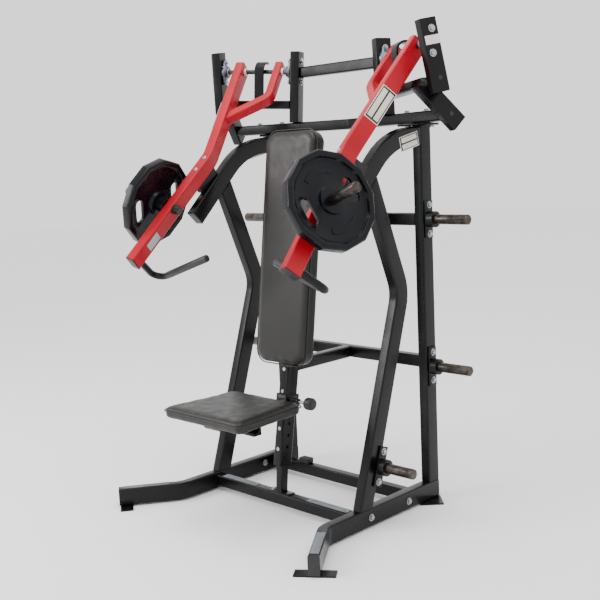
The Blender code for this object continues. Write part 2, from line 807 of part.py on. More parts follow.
def build_frame():
    place("top_beam", top_beam(), 1, *BLACK)
    reach = SIDE_X - TUBE / 2 - GAP
    place("front_cross_tube", cross_tube(FRONT_CROSS_Y, LOW_CROSS_Z, CROSS_HEIGHT, reach), 1, *BLACK)
    place("rear_cross_tube", cross_tube(REAR_CROSS_Y, LOW_CROSS_Z, CROSS_HEIGHT, reach), 1, *BLACK)
    place("mid_cross_tube", cross_tube(UPPER_CROSS_Y, MID_CROSS_Z, CROSS_HEIGHT, reach), 1, *BLACK)
    place("upper_cross_tube", cross_tube(UPPER_CROSS_Y, UPPER_CROSS_Z, CROSS_HEIGHT, reach), 1, *BLACK)
    place("upper_tie_beam", upper_tie_beam(), 1, *BLACK)
    for hand, side in SIDES.items():
        place(f"{hand}_base_tube", base_tube(), side, *BLACK)
        place(f"{hand}_front_foot_plate", front_foot_plate(), side, *BLACK)
        place(f"{hand}_rear_foot_plate", rear_foot_plate(), side, *BLACK)
        place(f"{hand}_rear_upright", rear_upright(), side, *BLACK)
        place(f"{hand}_stop_hoop", stop_hoop(), side, *BLACK)
        place(f"{hand}_hoop_leg", hoop_leg(), side, *BLACK)
        place(f"{hand}_inner_post", inner_post(), side, *BLACK)
        place(f"{hand}_outer_tower", outer_tower(), side, *BLACK)
        place(f"{hand}_tower_cross_tube", tower_cross_tube(), side, *BLACK)
        place(f"{hand}_diagonal_brace", diagonal_brace(), side, *BLACK)
        place(f"{hand}_shaft_hook", shaft_hook(), side, *BLACK)
        post_face = pivot(POST_MID + POST_WIDTH / 2, 0, 0)
        tower_face = pivot(TOWER_MID - POST_WIDTH / 2, 0, 0)
        place(f"{hand}_post_bearing", flange_bearing(post_face, ACROSS), side, *ZINC)
        place(f"{hand}_tower_bearing", flange_bearing(tower_face, -ACROSS), side, *ZINC)
        outer_x = SIDE_X + TUBE / 2
        leg_lean = radians(18.3)
        place(f"{hand}_upper_storage_horn", storage_horn(0.034, 1.222, outer_x, 0.661, 0.155), side, *STEEL)
        place(f"{hand}_lower_storage_horn", storage_horn(0.034, 0.594, outer_x, 0.656, 0.170), side, *STEEL)
        place(f"{hand}_leg_storage_horn", storage_horn(-0.332, 0.244, outer_x, 0.632, 0.165, leg_lean),
              side, *STEEL)


def build_arms():
    for hand, side in SIDES.items():
        arm_tube = place(f"{hand}_press_arm", press_arm(), side, *RED, origin=HUB)
        shaft_from = mirrored(pivot(-0.08, 0, 0), side)
        shaft_to = mirrored(pivot(0.05, 0, 0), side)
        drill(arm_tube, shaft_from, shaft_to, BORE_R, f"{hand}_shaft_bore", 24)
        horn_from = mirrored(horn_base() - lower_outward() * 0.05, side)
        horn_to = mirrored(horn_base() + lower_outward() * 0.05, side)
        drill(arm_tube, horn_from, horn_to, HORN_R + 0.0005, f"{hand}_horn_bore", 24)
        branch = place(f"{hand}_arm_branch", arm_branch(), side, *RED, origin=HUB)
        branch_from = mirrored(pivot(BRANCH_X - 0.05, 0, 0), side)
        branch_to = mirrored(pivot(BRANCH_X + 0.05, 0, 0), side)
        drill(branch, branch_from, branch_to, BORE_R, f"{hand}_branch_bore", 24)
        place(f"{hand}_pivot_shaft", pivot_shaft(), side, *DARK_STEEL, origin=HUB)
        place(f"{hand}_arm_bumper", arm_bumper(), side, *RUBBER, origin=HUB)
        place(f"{hand}_press_handle", press_handle(), side, *RUBBER, origin=HUB)
        place(f"{hand}_weight_horn", weight_horn(), side, *STEEL, origin=HUB)
        plate = place(f"{hand}_weight_plate", weight_plate(), side, *IRON, origin=horn_base())
        for label, way in (("upper", 1), ("lower", -1)):
            slot = plate_slot(way)
            if side < 0:
                bmesh.ops.transform(slot, matrix=Matrix.Scale(-1, 4, X_AXIS), verts=slot.verts)
                bmesh.ops.reverse_faces(slot, faces=slot.faces)
            combine(plate, slot, "DIFFERENCE", f"{hand}_{label}_slot")


def build_seat():
    guide = place("seat_guide_post", seat_guide_post(), 1, *BLACK)
    for step in range(5):
        hole = post_point(0.270 + 0.05 * step)
        drill(guide, hole + X_AXIS * 0.016, hole + X_AXIS * 0.030, 0.0068, f"pin_hole_{step}", 12)
    carriage = place("seat_carriage", seat_carriage(), 1, *BLACK, origin=post_point(0.412))
    arm_middle = at(0, -0.5825, SEAT_TOP - SEAT_THICK - 0.0155 - GAP)
    combine(carriage, block(arm_middle, (0.046, 0.335, 0.031)), "UNION", "seat_arm")
    bar_middle = at(0, -0.690, SEAT_TOP - SEAT_THICK - 0.031 - 0.015)
    combine(carriage, block(bar_middle, (0.250, 0.040, 0.0305)), "UNION", "seat_cross_bar")
    combine(carriage, stack(pin_profile((0.013, 0.028), (0.013, 0.070))), "UNION", "pin_barrel")
    combine(carriage, carriage_bore(), "DIFFERENCE", "carriage_bore")
    combine(carriage, stack(pin_profile((0.0066, 0.010), (0.0066, 0.080))), "DIFFERENCE", "pin_bore")
    place("seat_pin", seat_pin(), 1, *RUBBER, origin=post_point(PIN_Z))
    place("seat_pad", seat_pad(), 1, *VINYL, origin=post_point(0.412))
    place("back_pad", back_pad(), 1, *VINYL)
    place("back_post", back_post(), 1, *BLACK)
    place("back_strut", back_strut(), 1, *BLACK)
    place("centre_tube", centre_tube(), 1, *BLACK)


for old in list(bpy.data.objects):
    bpy.data.objects.remove(old, do_unlink=True)
build_frame()
build_arms()
build_seat()
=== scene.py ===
# %% [markdown]
# # A plate-loaded chest press machine
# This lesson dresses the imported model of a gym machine: black and red powder-coated tube, padded
# vinyl, coated weight plates, worn steel horns and zinc bolts. The model stays as it is. Each
# cell makes one kind of piece and prints what it made.

# %% Load the fixed frame
import json
from math import cos, pi, radians, sin, tan
import bpy
from mathutils import Matrix, Vector


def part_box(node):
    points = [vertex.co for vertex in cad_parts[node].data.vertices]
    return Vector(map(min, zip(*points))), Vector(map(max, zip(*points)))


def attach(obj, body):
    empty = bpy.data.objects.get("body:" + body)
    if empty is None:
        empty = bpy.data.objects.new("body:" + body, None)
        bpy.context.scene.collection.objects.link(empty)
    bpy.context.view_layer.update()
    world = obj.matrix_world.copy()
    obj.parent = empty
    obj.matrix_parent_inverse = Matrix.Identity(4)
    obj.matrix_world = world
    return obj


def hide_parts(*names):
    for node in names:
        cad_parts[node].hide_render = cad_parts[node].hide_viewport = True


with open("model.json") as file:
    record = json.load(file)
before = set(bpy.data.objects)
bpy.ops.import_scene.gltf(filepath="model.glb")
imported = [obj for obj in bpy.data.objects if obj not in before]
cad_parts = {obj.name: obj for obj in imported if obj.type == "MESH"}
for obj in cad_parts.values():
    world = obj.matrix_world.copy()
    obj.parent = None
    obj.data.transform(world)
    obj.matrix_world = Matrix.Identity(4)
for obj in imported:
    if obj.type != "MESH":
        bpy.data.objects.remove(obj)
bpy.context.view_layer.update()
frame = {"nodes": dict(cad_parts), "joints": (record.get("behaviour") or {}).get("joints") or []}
record_joints = {joint["name"]: joint for joint in frame["joints"]}
X_AXIS = Vector((1, 0, 0))
Z_AXIS = Vector((0, 0, 1))
SIDES = {"left": 1, "right": -1}

# %% [markdown]
# ## Where things are
# The user sits facing -Y, so the user's left is +X. Both halves mirror each other, so every place
# below is given for the left side and mirrored for the right. The arm's hub, its shaft and the
# weight horn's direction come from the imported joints.

# %% Places on the machine
REAR_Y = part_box("left_stop_hoop")[1].y + 0.0004
HUB = Vector(record_joints["left_arm_pivot"]["pos_m"])
ACROSS = -Vector(record_joints["left_arm_pivot"]["axis"])
HORN_OUT = Vector(record_joints["left_plate_slide"]["axis"])
BACK = Z_AXIS.cross(ACROSS).normalized()
UPWARD = ACROSS.cross(BACK)
ARM_SWING = radians(38.9)
ALONG_ARM = -sin(ARM_SWING) * BACK - cos(ARM_SWING) * UPWARD
BEHIND_ARM = cos(ARM_SWING) * BACK - sin(ARM_SWING) * UPWARD
ARM_WIDTH = 0.044
ARM_DEPTH = 0.075
ARM_ELBOW = 0.510
ARM_END = (0.189, 1.075)
HORN_ALONG = 0.300
HORN_FORWARD = 0.0155
COLLAR_LENGTH = 0.040


def at(x, y, z):
    """A place whose depth is given from the rear uprights' front face."""
    return Vector((x, y + REAR_Y, z))


def pivot(across, back, up):
    """A place near the left arm's hub, measured along and square to its shaft."""
    return HUB + across * ACROSS + back * BACK + up * UPWARD


def arm(across, along, behind=0.0):
    """A place on the left arm, measured down the arm from the hub."""
    return HUB + across * ACROSS + along * ALONG_ARM + behind * BEHIND_ARM


ELBOW = arm(0, ARM_ELBOW)
LOWER = (arm(*ARM_END) - ELBOW).normalized()
HORN_BASE = ELBOW + LOWER * HORN_ALONG - BEHIND_ARM * HORN_FORWARD
print("hub", HUB, "horn base", HORN_BASE)

# %% [markdown]
# ## Small helpers
# A maker of one-off machines has a few jigs. One turns a sRGB hex colour into Blender's linear
# values, one adds a shader node with its settings and links, and the others place a finished mesh
# so that its object stays at the origin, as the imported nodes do.

# %% Colour and node helpers


def colour(code):
    """A sRGB hex colour as linear RGBA."""
    parts = [int(code[i:i + 2], 16) / 255 for i in (1, 3, 5)]
    linear = [v / 12.92 if v <= 0.04045 else ((v + 0.055) / 1.055) ** 2.4 for v in parts]
    return (*linear, 1.0)


def add_node(tree, kind, inputs=None, **settings):
    """Add a node; an input is a plain value, or the socket that feeds it."""
    made = tree.nodes.new(kind)
    for name, value in settings.items():
        setattr(made, name, value)
    for name, value in (inputs or {}).items():
        if isinstance(value, bpy.types.NodeSocket):
            tree.links.new(value, made.inputs[name])
        else:
            made.inputs[name].default_value = value
    return made


def new_finish(name, metallic=0.0, **sockets):
    """A material with its Principled shader, and its object coordinates."""
    finish = bpy.data.materials.new(name)
    finish.use_nodes = True
    tree = finish.node_tree
    shader = tree.nodes["Principled BSDF"]
    shader.inputs["Metallic"].default_value = metallic
    for socket, value in sockets.items():
        shader.inputs[socket.replace("_", " ")].default_value = value
    place = add_node(tree, "ShaderNodeTexCoord").outputs["Object"]
    return finish, tree, shader, place


def mottle(tree, place, scale, low, high, detail=3.0, position=(0.35, 0.65)):
    """A noise that runs between two values: colours or grey levels."""
    noise = add_node(tree, "ShaderNodeTexNoise", {"Vector": place, "Scale": scale, "Detail": detail})
    ramp = add_node(tree, "ShaderNodeValToRGB", {"Fac": noise.outputs["Fac"]})
    ramp.color_ramp.elements[0].position = position[0]
    ramp.color_ramp.elements[1].position = position[1]
    ramp.color_ramp.elements[0].color = low
    ramp.color_ramp.elements[1].color = high
    return ramp.outputs["Color"]


def grey(value):
    """A grey level as a colour."""
    return (value, value, value, 1.0)


# %% [markdown]
# ## Powder coat
# The tubes are sprayed with polyester powder and baked, which leaves a smooth, half-gloss skin
# with a fine orange peel. The peel is about 1 mm across on the real tube; here it is drawn 3 mm
# wide, so that it shows. Dust and hands leave the gloss slightly uneven.

# %% Powder coats


def powder_coat(name, dark, light, rough_low, rough_high, gloss=0.25):
    """A sprayed coat with orange peel."""
    finish, tree, shader, place = new_finish(name, Specular_IOR_Level=gloss)
    tint = mottle(tree, place, 5.0, colour(dark), colour(light))
    tree.links.new(tint, shader.inputs["Base Color"])
    rough = mottle(tree, place, 11.0, grey(rough_low), grey(rough_high), 5.0)
    tree.links.new(rough, shader.inputs["Roughness"])
    peel = add_node(tree, "ShaderNodeTexNoise", {"Vector": place, "Scale": 330.0, "Detail": 1.0})
    bump = add_node(tree, "ShaderNodeBump",
                    {"Height": peel.outputs["Fac"], "Strength": 0.12, "Distance": 0.0006})
    tree.links.new(bump.outputs["Normal"], shader.inputs["Normal"])
    return finish


black_coat = powder_coat("black_powder_coat", "#040405", "#090a0c", 0.22, 0.34, 0.22)
red_coat = powder_coat("red_powder_coat", "#a0061a", "#ac0a21", 0.32, 0.44, 0.25)
print("powder coats", black_coat.name, red_coat.name)

# %% [markdown]
# ## Upholstery vinyl
# Gym pads are covered in PVC-coated cloth with an embossed leather grain. Grain cells are about
# 1.5 mm; they are drawn at 2.5 mm so that they show. Moulded rubber, plastic caps, the pale
# strips on the low tubes, whose colour is a painted highlight of their lit top faces, and printed
# plates differ only in colour, gloss and the size of their grain, so one function makes them all.
# A cell pattern was chosen because its valleys look pressed in, as a grain is.

# %% Vinyl, rubber and plastic


def embossed(name, dark, light, roughness, cell, depth, **sockets):
    """A soft finish with a cell grain; cell and depth are in metres."""
    finish, tree, shader, place = new_finish(name, **sockets)
    tint = mottle(tree, place, 9.0, colour(dark), colour(light), 6.0)
    tree.links.new(tint, shader.inputs["Base Color"])
    rough = mottle(tree, place, 25.0, grey(roughness - 0.05), grey(roughness + 0.06), 4.0)
    tree.links.new(rough, shader.inputs["Roughness"])
    cells = add_node(tree, "ShaderNodeTexVoronoi", {"Vector": place, "Scale": 1 / cell},
                     feature="DISTANCE_TO_EDGE")
    bump = add_node(tree, "ShaderNodeBump",
                    {"Height": cells.outputs["Distance"], "Strength": 0.35, "Distance": depth})
    tree.links.new(bump.outputs["Normal"], shader.inputs["Normal"])
    return finish


vinyl = embossed("grey_vinyl", "#12110f", "#191714", 0.40, 0.0025, 0.0006,
                 Specular_IOR_Level=0.35)
rubber = embossed("black_rubber", "#060607", "#0b0b0c", 0.60, 0.0040, 0.0004)
grip_rubber = embossed("grip_rubber", "#0e0f12", "#16171b", 0.48, 0.0030, 0.0005)
cap_plastic = embossed("cap_plastic", "#08090a", "#0d0e10", 0.45, 0.0030, 0.0002)
board_black = embossed("board_black", "#0b0a09", "#110f0d", 0.62, 0.0060, 0.0003)
# Pale grey-blue strip finish: a painted highlight of the lit top faces of the low tubes.
painted_highlight_strip_finish = embossed("painted_highlight_strip", "#5a5f63", "#767b80", 0.85, 0.0022, 0.0012)
plain_plate = embossed("plate_enamel", "#1a1a1c", "#222225", 0.35, 0.0050, 0.0001)
plate_border = embossed("plate_border", "#cfcabb", "#dbd6c8", 0.45, 0.0050, 0.0001)
pale_label = embossed("pale_label", "#d9c9c6", "#e4d8d5", 0.45, 0.0050, 0.0001)
silver_label = embossed("silver_label", "#8f949b", "#a5aab0", 0.42, 0.0050, 0.0001)
nylon = embossed("white_nylon", "#c9c4bc", "#d8d3cb", 0.5, 0.0050, 0.0001)
print("vinyl, rubber, plastic and label finishes made")

# %% [markdown]
# ## Metals
# The horns are turned mild steel that plates have rubbed for years: a dark, brownish grey with
# fine rings. Bolts and bearing housings are zinc plated, and the shafts are ground steel. A noise
# that is stretched by a Mapping node gives the tool marks their direction.

# %% Metals


def metal(name, dark, light, roughness, brushed, scale=40.0):
    """A bare metal with fine tool marks."""
    finish, tree, shader, place = new_finish(name, metallic=1.0)
    tint = mottle(tree, place, scale, colour(dark), colour(light), 8.0, (0.3, 0.7))
    tree.links.new(tint, shader.inputs["Base Color"])
    rough = mottle(tree, place, scale * 1.7, grey(roughness - 0.08), grey(roughness + 0.10), 6.0)
    tree.links.new(rough, shader.inputs["Roughness"])
    stretched = add_node(tree, "ShaderNodeMapping", {"Vector": place, "Scale": brushed})
    lines = add_node(tree, "ShaderNodeTexNoise",
                     {"Vector": stretched.outputs["Vector"], "Scale": 60.0, "Detail": 2.0})
    bump = add_node(tree, "ShaderNodeBump",
                    {"Height": lines.outputs["Fac"], "Strength": 0.25, "Distance": 0.0004})
    tree.links.new(bump.outputs["Normal"], shader.inputs["Normal"])
    return finish


horn_steel = metal("worn_horn_steel", "#2f2b29", "#5d5650", 0.38, (14.0, 0.6, 0.6))
collar_black = powder_coat("collar_black", "#07080a", "#0e0f12", 0.30, 0.42)
cast_zinc = metal("cast_bearing_zinc", "#4b5258", "#7d858c", 0.42, (1.0, 1.0, 1.0), 25.0)
zinc = metal("zinc_plate", "#8d9196", "#b4b8bc", 0.36, (1.0, 1.0, 1.0))
ground_steel = metal("ground_shaft_steel", "#3a3b3f", "#55565a", 0.35, (1.0, 8.0, 8.0))
print("metals", horn_steel.name, cast_zinc.name, zinc.name, ground_steel.name)

# %% [markdown]
# ## Coated iron
# The weight plates are cast iron dipped in urethane: nearly black with a blue cast, glossy, and
# slightly wavy because the coat follows the casting. A noise of about 8 mm bends the highlights.

# %% Urethane coat
urethane, tree, shader, place = new_finish("urethane_coat", Specular_IOR_Level=0.20)
tree.links.new(mottle(tree, place, 14.0, colour("#030408"), colour("#080a11"), 5.0),
               shader.inputs["Base Color"])
tree.links.new(mottle(tree, place, 30.0, grey(0.16), grey(0.28), 5.0), shader.inputs["Roughness"])
wave = add_node(tree, "ShaderNodeTexNoise", {"Vector": place, "Scale": 120.0, "Detail": 3.0})
bump = add_node(tree, "ShaderNodeBump",
                {"Height": wave.outputs["Fac"], "Strength": 0.2, "Distance": 0.001})
tree.links.new(bump.outputs["Normal"], shader.inputs["Normal"])
print("coat", urethane.name)

# %% [markdown]
# ## Jigs for meshes
# `only` selects one object, `settle` puts a finished piece in its place with its object at the
# origin, and `mirror_piece` makes the other hand's copy with its faces turned out again.

# %% Mesh helpers


def only(piece):
    """Leave edit mode and select one object."""
    if bpy.context.object and bpy.context.object.mode != "OBJECT":
        bpy.ops.object.mode_set(mode="OBJECT")
    bpy.ops.object.select_all(action="DESELECT")
    piece.select_set(True)
    bpy.context.view_layer.objects.active = piece


def settle(piece, name, finish, matrix=None):
    """Name a piece, give it its finish and bake its place into its mesh."""
    only(piece)
    piece.data.transform((matrix or Matrix.Identity(4)) @ piece.matrix_world)
    piece.matrix_world = Matrix.Identity(4)
    piece.name = piece.data.name = name
    piece.data.materials.clear()
    piece.data.materials.append(finish)
    return piece


def look_along(origin, direction, side=None):
    """A matrix whose Z is direction and whose X is as near to side as it can be."""
    direction = direction.normalized()
    side = side or (Z_AXIS if abs(direction.z) < 0.9 else X_AXIS)
    first = (side - direction * side.dot(direction)).normalized()
    second = direction.cross(first)
    turn = Matrix((first, second, direction)).transposed().to_4x4()
    return Matrix.Translation(origin) @ turn


def mirror_piece(piece, name):
    """The right-hand copy of a left-hand piece."""
    copy = piece.copy()
    copy.data = piece.data.copy()
    bpy.context.collection.objects.link(copy)
    copy.data.transform(Matrix.Scale(-1, 4, X_AXIS))
    copy.data.flip_normals()
    copy.name = copy.data.name = name
    return copy


def both_hands(piece, stem, slot, body, *nodes):
    """Ride a left piece and its mirror copy on their bodies."""
    for hand, side in SIDES.items():
        made = piece if side > 0 else mirror_piece(piece, f"right_{stem}")
        if side > 0:
            made.name = made.data.name = f"left_{stem}"
        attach(made, body.format(hand=hand))
        if nodes:
            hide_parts(*[node.format(hand=hand) for node in nodes])


def shade(piece, angle=35):
    """Smooth shading, except across edges sharper than the angle in degrees."""
    only(piece)
    bpy.ops.object.shade_smooth_by_angle(angle=radians(angle))


def ease_edges(piece, width, segments=2, angle=30):
    """Round every edge that is sharper than the angle in degrees."""
    only(piece)
    step = piece.modifiers.new("eased", "BEVEL")
    step.width = width
    step.segments = segments
    step.limit_method = "ANGLE"
    step.angle_limit = radians(angle)
    bpy.ops.object.modifier_apply(modifier=step.name)


def turn_piece(profile, steps=48):
    """Turn a profile of (radius, height) pairs about Z with the spin tool."""
    mesh = bpy.data.meshes.new("profile")
    points = [(radius, 0, height) for radius, height in profile]
    mesh.from_pydata(points, [(i, i + 1) for i in range(len(points) - 1)], [])
    piece = bpy.data.objects.new("profile", mesh)
    bpy.context.collection.objects.link(piece)
    only(piece)
    bpy.ops.object.mode_set(mode="EDIT")
    bpy.ops.mesh.select_all(action="SELECT")
    bpy.ops.mesh.spin(steps=steps, angle=2 * pi, center=(0, 0, 0), axis=(0, 0, 1))
    bpy.ops.mesh.select_all(action="SELECT")
    bpy.ops.mesh.remove_doubles(threshold=0.00001)
    bpy.ops.mesh.normals_make_consistent(inside=False)
    bpy.ops.object.mode_set(mode="OBJECT")
    shade(piece)
    return piece


def rounded_block(size, corner, segments=3):
    """A block with eased edges, centred on the origin."""
    bpy.ops.mesh.primitive_cube_add(size=1)
    piece = bpy.context.object
    piece.scale = size
    only(piece)
    bpy.ops.object.transform_apply(location=False, rotation=False, scale=True)
    ease_edges(piece, corner, segments)
    shade(piece, 40)
    return piece


def join_all(parts):
    """Join meshes into the first one."""
    only(parts[0])
    for part in parts[1:]:
        part.select_set(True)
    bpy.ops.object.join()
    return bpy.context.object


# %% [markdown]
# ## The tubes
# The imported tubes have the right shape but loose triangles, so each bend would show flat facets.
# Each one is copied, its points are merged, and its faces get normals weighted by area: broad
# sides stay flat while corners and bends look round, as drawn tube does.

# %% Tubes with smooth bends and corners


def refine(node, name, finish, body):
    """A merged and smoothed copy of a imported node, which takes the node's place."""
    source = frame["nodes"][node]
    piece = source.copy()
    piece.data = source.data.copy()
    piece.parent = None
    bpy.context.collection.objects.link(piece)
    only(piece)
    bpy.ops.object.mode_set(mode="EDIT")
    bpy.ops.mesh.select_all(action="SELECT")
    bpy.ops.mesh.remove_doubles(threshold=0.00002)
    bpy.ops.object.mode_set(mode="OBJECT")
    piece.data.shade_smooth()
    piece.data.set_sharp_from_angle(angle=radians(50))
    weights = piece.modifiers.new("weights", "WEIGHTED_NORMAL")
    weights.keep_sharp = True
    bpy.ops.object.modifier_apply(modifier=weights.name)
    settle(piece, name, finish)
    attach(piece, body)
    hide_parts(node)
    return piece


tubes = ("base_tube", "stop_hoop", "hoop_leg", "inner_post", "outer_tower", "tower_cross_tube",
         "diagonal_brace", "shaft_hook", "rear_upright")
for hand in SIDES:
    for stem in tubes:
        refine(f"{hand}_{stem}", f"{hand}_{stem}_shell", black_coat, "frame")
    for stem in ("press_arm", "arm_branch"):
        refine(f"{hand}_{stem}", f"{hand}_{stem}_shell", red_coat, f"{hand}_arm")
    for stem in ("post_bearing", "tower_bearing"):
        refine(f"{hand}_{stem}", f"{hand}_{stem}_housing", cast_zinc, "frame")
    refine(f"{hand}_pivot_shaft", f"{hand}_ground_shaft", ground_steel, f"{hand}_arm")
    refine(f"{hand}_arm_bumper", f"{hand}_bumper_block", rubber, f"{hand}_arm")
for node in ("top_beam", "front_cross_tube", "rear_cross_tube", "mid_cross_tube", "upper_cross_tube",
             "upper_tie_beam", "back_post", "back_strut", "centre_tube", "seat_guide_post"):
    refine(node, f"{node}_shell", black_coat, "frame")
refine("seat_carriage", "seat_carriage_shell", black_coat, "seat")
for hand in SIDES:
    for stem in ("front_foot_plate", "rear_foot_plate"):
        frame["nodes"][f"{hand}_{stem}"].material_slots[0].material = black_coat
print("tubes, arms, bearings, shafts and bumpers refined")

# %% [markdown]
# ## Camera
# The view is from the user's front left, a little above the seat, with a long lens. Its three
# directions are worked out from a turn, a pitch and a small roll.

# %% Camera
AZIMUTH = radians(44.664)
PITCH = radians(8.2006)
ROLL = radians(-2.5817)
LENS = 57.518
EYE = at(2.8925, -3.2143, 1.4841)
view_dir = Vector((-sin(AZIMUTH) * cos(PITCH), cos(AZIMUTH) * cos(PITCH), -sin(PITCH)))
flat_right = Vector((cos(AZIMUTH), sin(AZIMUTH), 0))
flat_up = flat_right.cross(view_dir)
right = flat_right * cos(ROLL) + flat_up * sin(ROLL)
up = flat_up * cos(ROLL) - flat_right * sin(ROLL)
camera_data = bpy.data.cameras.new("camera")
camera_data.sensor_width = 36
camera_data.lens = LENS
camera = bpy.data.objects.new("camera", camera_data)
turned = Matrix((right, up, -view_dir)).transposed().to_4x4()
camera.matrix_world = Matrix.Translation(EYE) @ turned
bpy.context.collection.objects.link(camera)
bpy.context.scene.camera = camera
print("camera at", EYE)

# %% [markdown]
# ## Floor and light
# The machine stands in a white studio: a pale floor, a bright backdrop, a broad key light from the
# user's front right and a softer light from above. Square area lamps give the soft shadows and the
# long highlights that half-gloss tube shows.

# %% Floor, world and lamps
bpy.ops.mesh.primitive_plane_add(size=40)
floor = bpy.context.object
floor_finish, tree, shader, place = new_finish("pale_floor", Roughness=0.75)
shader.inputs["Base Color"].default_value = colour("#fbfbfb")
settle(floor, "floor", floor_finish)
world = bpy.data.worlds.new("studio")
bpy.context.scene.world = world
world.use_nodes = True
backdrop = world.node_tree.nodes["Background"]
backdrop.inputs["Color"].default_value = colour("#ffffff")
backdrop.inputs["Strength"].default_value = 1.5


def softbox(name, spot, target, size, power):
    """A square area lamp that faces a target."""
    data = bpy.data.lights.new(name, "AREA")
    data.shape = "SQUARE"
    data.size = size
    data.energy = power
    lamp = bpy.data.objects.new(name, data)
    lamp.location = spot
    lamp.rotation_euler = (target - spot).to_track_quat("-Z", "Y").to_euler()
    bpy.context.collection.objects.link(lamp)


chest_height = Vector((0, 0, 1.1))
softbox("key", Vector((-2.6, -3.6, 3.0)), chest_height, 2.2, 150)
softbox("top", Vector((0.4, -0.6, 4.4)), chest_height, 2.6, 90)
print("floor, backdrop and two lamps")

# %% [markdown]
# ## Weight plates
# Each plate is a twelve-sided casting with a heavy rim, a thin web and two hand slots. The packed
# solid has that form, so its copy only gets eased edges; raised bars and a ring are added.

# %% Weight plates
PLATE_RIM = 0.046
PLATE_WEB = 0.016
SLOT_TURN = radians(120)
for hand in SIDES:
    casting = refine(f"{hand}_weight_plate", f"{hand}_plate_casting", urethane,
                     f"{hand}_plate")
    ease_edges(casting, 0.0012, 2, 28)
    shade(casting, 40)
    print(casting.name, len(casting.data.polygons), "faces")

# %% [markdown]
# ## Raised bars
# Real plates carry raised lettering. Here two plain bars and a ring stand in its place. A bar could
# be cut from a ring; a flat strip that is subdivided, raised and wrapped round the horn is shorter.

# %% Raised bars and a ring on the plates


def plate_place():
    """Matrix of the plate's outer web face, with X along the line of its two slots."""
    level = ARM_WIDTH / 2 + COLLAR_LENGTH + PLATE_RIM / 2 + PLATE_WEB / 2
    across = HORN_OUT.cross((LOWER - HORN_OUT * LOWER.dot(HORN_OUT)).normalized())
    spoke = Matrix.Rotation(-SLOT_TURN, 3, HORN_OUT) @ across
    return look_along(HORN_BASE + HORN_OUT * level, HORN_OUT, spoke)


def arc_bar(middle_angle, spread, radius, width, height, steps=18):
    """A raised bar that follows the plate's rim, with its middle at an angle from X."""
    bpy.ops.mesh.primitive_plane_add(size=1)
    bar = bpy.context.object
    bar.data.transform(Matrix.Diagonal((width, spread, 1, 1)))
    only(bar)
    bpy.ops.object.mode_set(mode="EDIT")
    bpy.ops.mesh.select_all(action="SELECT")
    bpy.ops.mesh.subdivide(number_cuts=steps)
    bpy.ops.mesh.extrude_region_move(TRANSFORM_OT_translate={"value": (0, 0, height)})
    bpy.ops.mesh.select_all(action="SELECT")
    bpy.ops.mesh.normals_make_consistent(inside=False)
    bpy.ops.object.mode_set(mode="OBJECT")
    for vertex in bar.data.vertices:
        angle = middle_angle + vertex.co.y
        reach = radius + vertex.co.x
        vertex.co.x = reach * cos(angle)
        vertex.co.y = reach * sin(angle)
    ease_edges(bar, 0.0007, 2, 50)
    shade(bar, 40)
    return bar


bars = join_all([arc_bar(angle, radians(64), 0.116, 0.022, 0.0030)
                 for angle in (radians(90), radians(270))])
settle(bars, "plate_bars", urethane, plate_place())
both_hands(bars, "plate_bars", "weight_coating", "{hand}_plate")
rib = turn_piece([(0.150, 0.0), (0.151, 0.0018), (0.154, 0.0025), (0.157, 0.0018), (0.158, 0.0)], 72)
settle(rib, "plate_rib", urethane, plate_place())
both_hands(rib, "plate_rib", "weight_coating", "{hand}_plate")
print("plate bars and rings", len(bars.data.polygons), len(rib.data.polygons), "faces")

# %% [markdown]
# ## Horns
# A horn is a turned steel bar. Its end is chamfered so that a plate finds it easily, and a collar
# keeps the plate off the frame. Spinning a half outline makes the whole of it at once.

# %% Weight horns
PLUG_LENGTH = 0.030
HORN_REACH = 0.2357
horn_start = HORN_BASE - HORN_OUT * (ARM_WIDTH / 2 + PLUG_LENGTH)
face = ARM_WIDTH + PLUG_LENGTH
horn_end = face + HORN_REACH
horn = turn_piece([(0, face + 0.0006), (0.0198, face + 0.0006), (0.0198, face + COLLAR_LENGTH),
                   (0.02, horn_end - 0.004), (0.0192, horn_end - 0.0015), (0.0175, horn_end),
                   (0.0, horn_end)])
settle(horn, "horn_bar", horn_steel, look_along(horn_start, HORN_OUT))
both_hands(horn, "horn_bar", "horn_steel", "{hand}_arm", "{hand}_weight_horn")
collar = turn_piece([(0.0202, face + 0.0006), (0.0325, face + 0.0006), (0.033, face + 0.0012),
                     (0.033, face + 0.0385), (0.0315, face + 0.0399), (0.0202, face + 0.0399)])
settle(collar, "horn_collar", collar_black, look_along(horn_start, HORN_OUT))
both_hands(collar, "horn_collar", "horn_steel", "{hand}_arm")
plug = turn_piece([(0, 0.0), (0.0165, 0.0), (0.0195, 0.003), (0.02, 0.0295), (0.0225, 0.0300),
                   (0.0225, 0.0306), (0, 0.0306)])
settle(plug, "horn_plug", cap_plastic, look_along(horn_start - HORN_OUT * 0.0008, HORN_OUT))
both_hands(plug, "horn_plug", "horn_steel", "{hand}_arm")
print("horn length", round(HORN_REACH, 3))

# %% [markdown]
# ## Storage horns
# Spare plates hang on six short bars. Each is welded into a flange that two bolts hold to its tube.
# The bar and collar are spun, and the flange is a block with eased edges. The place and length of
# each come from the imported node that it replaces.

# %% Storage horns


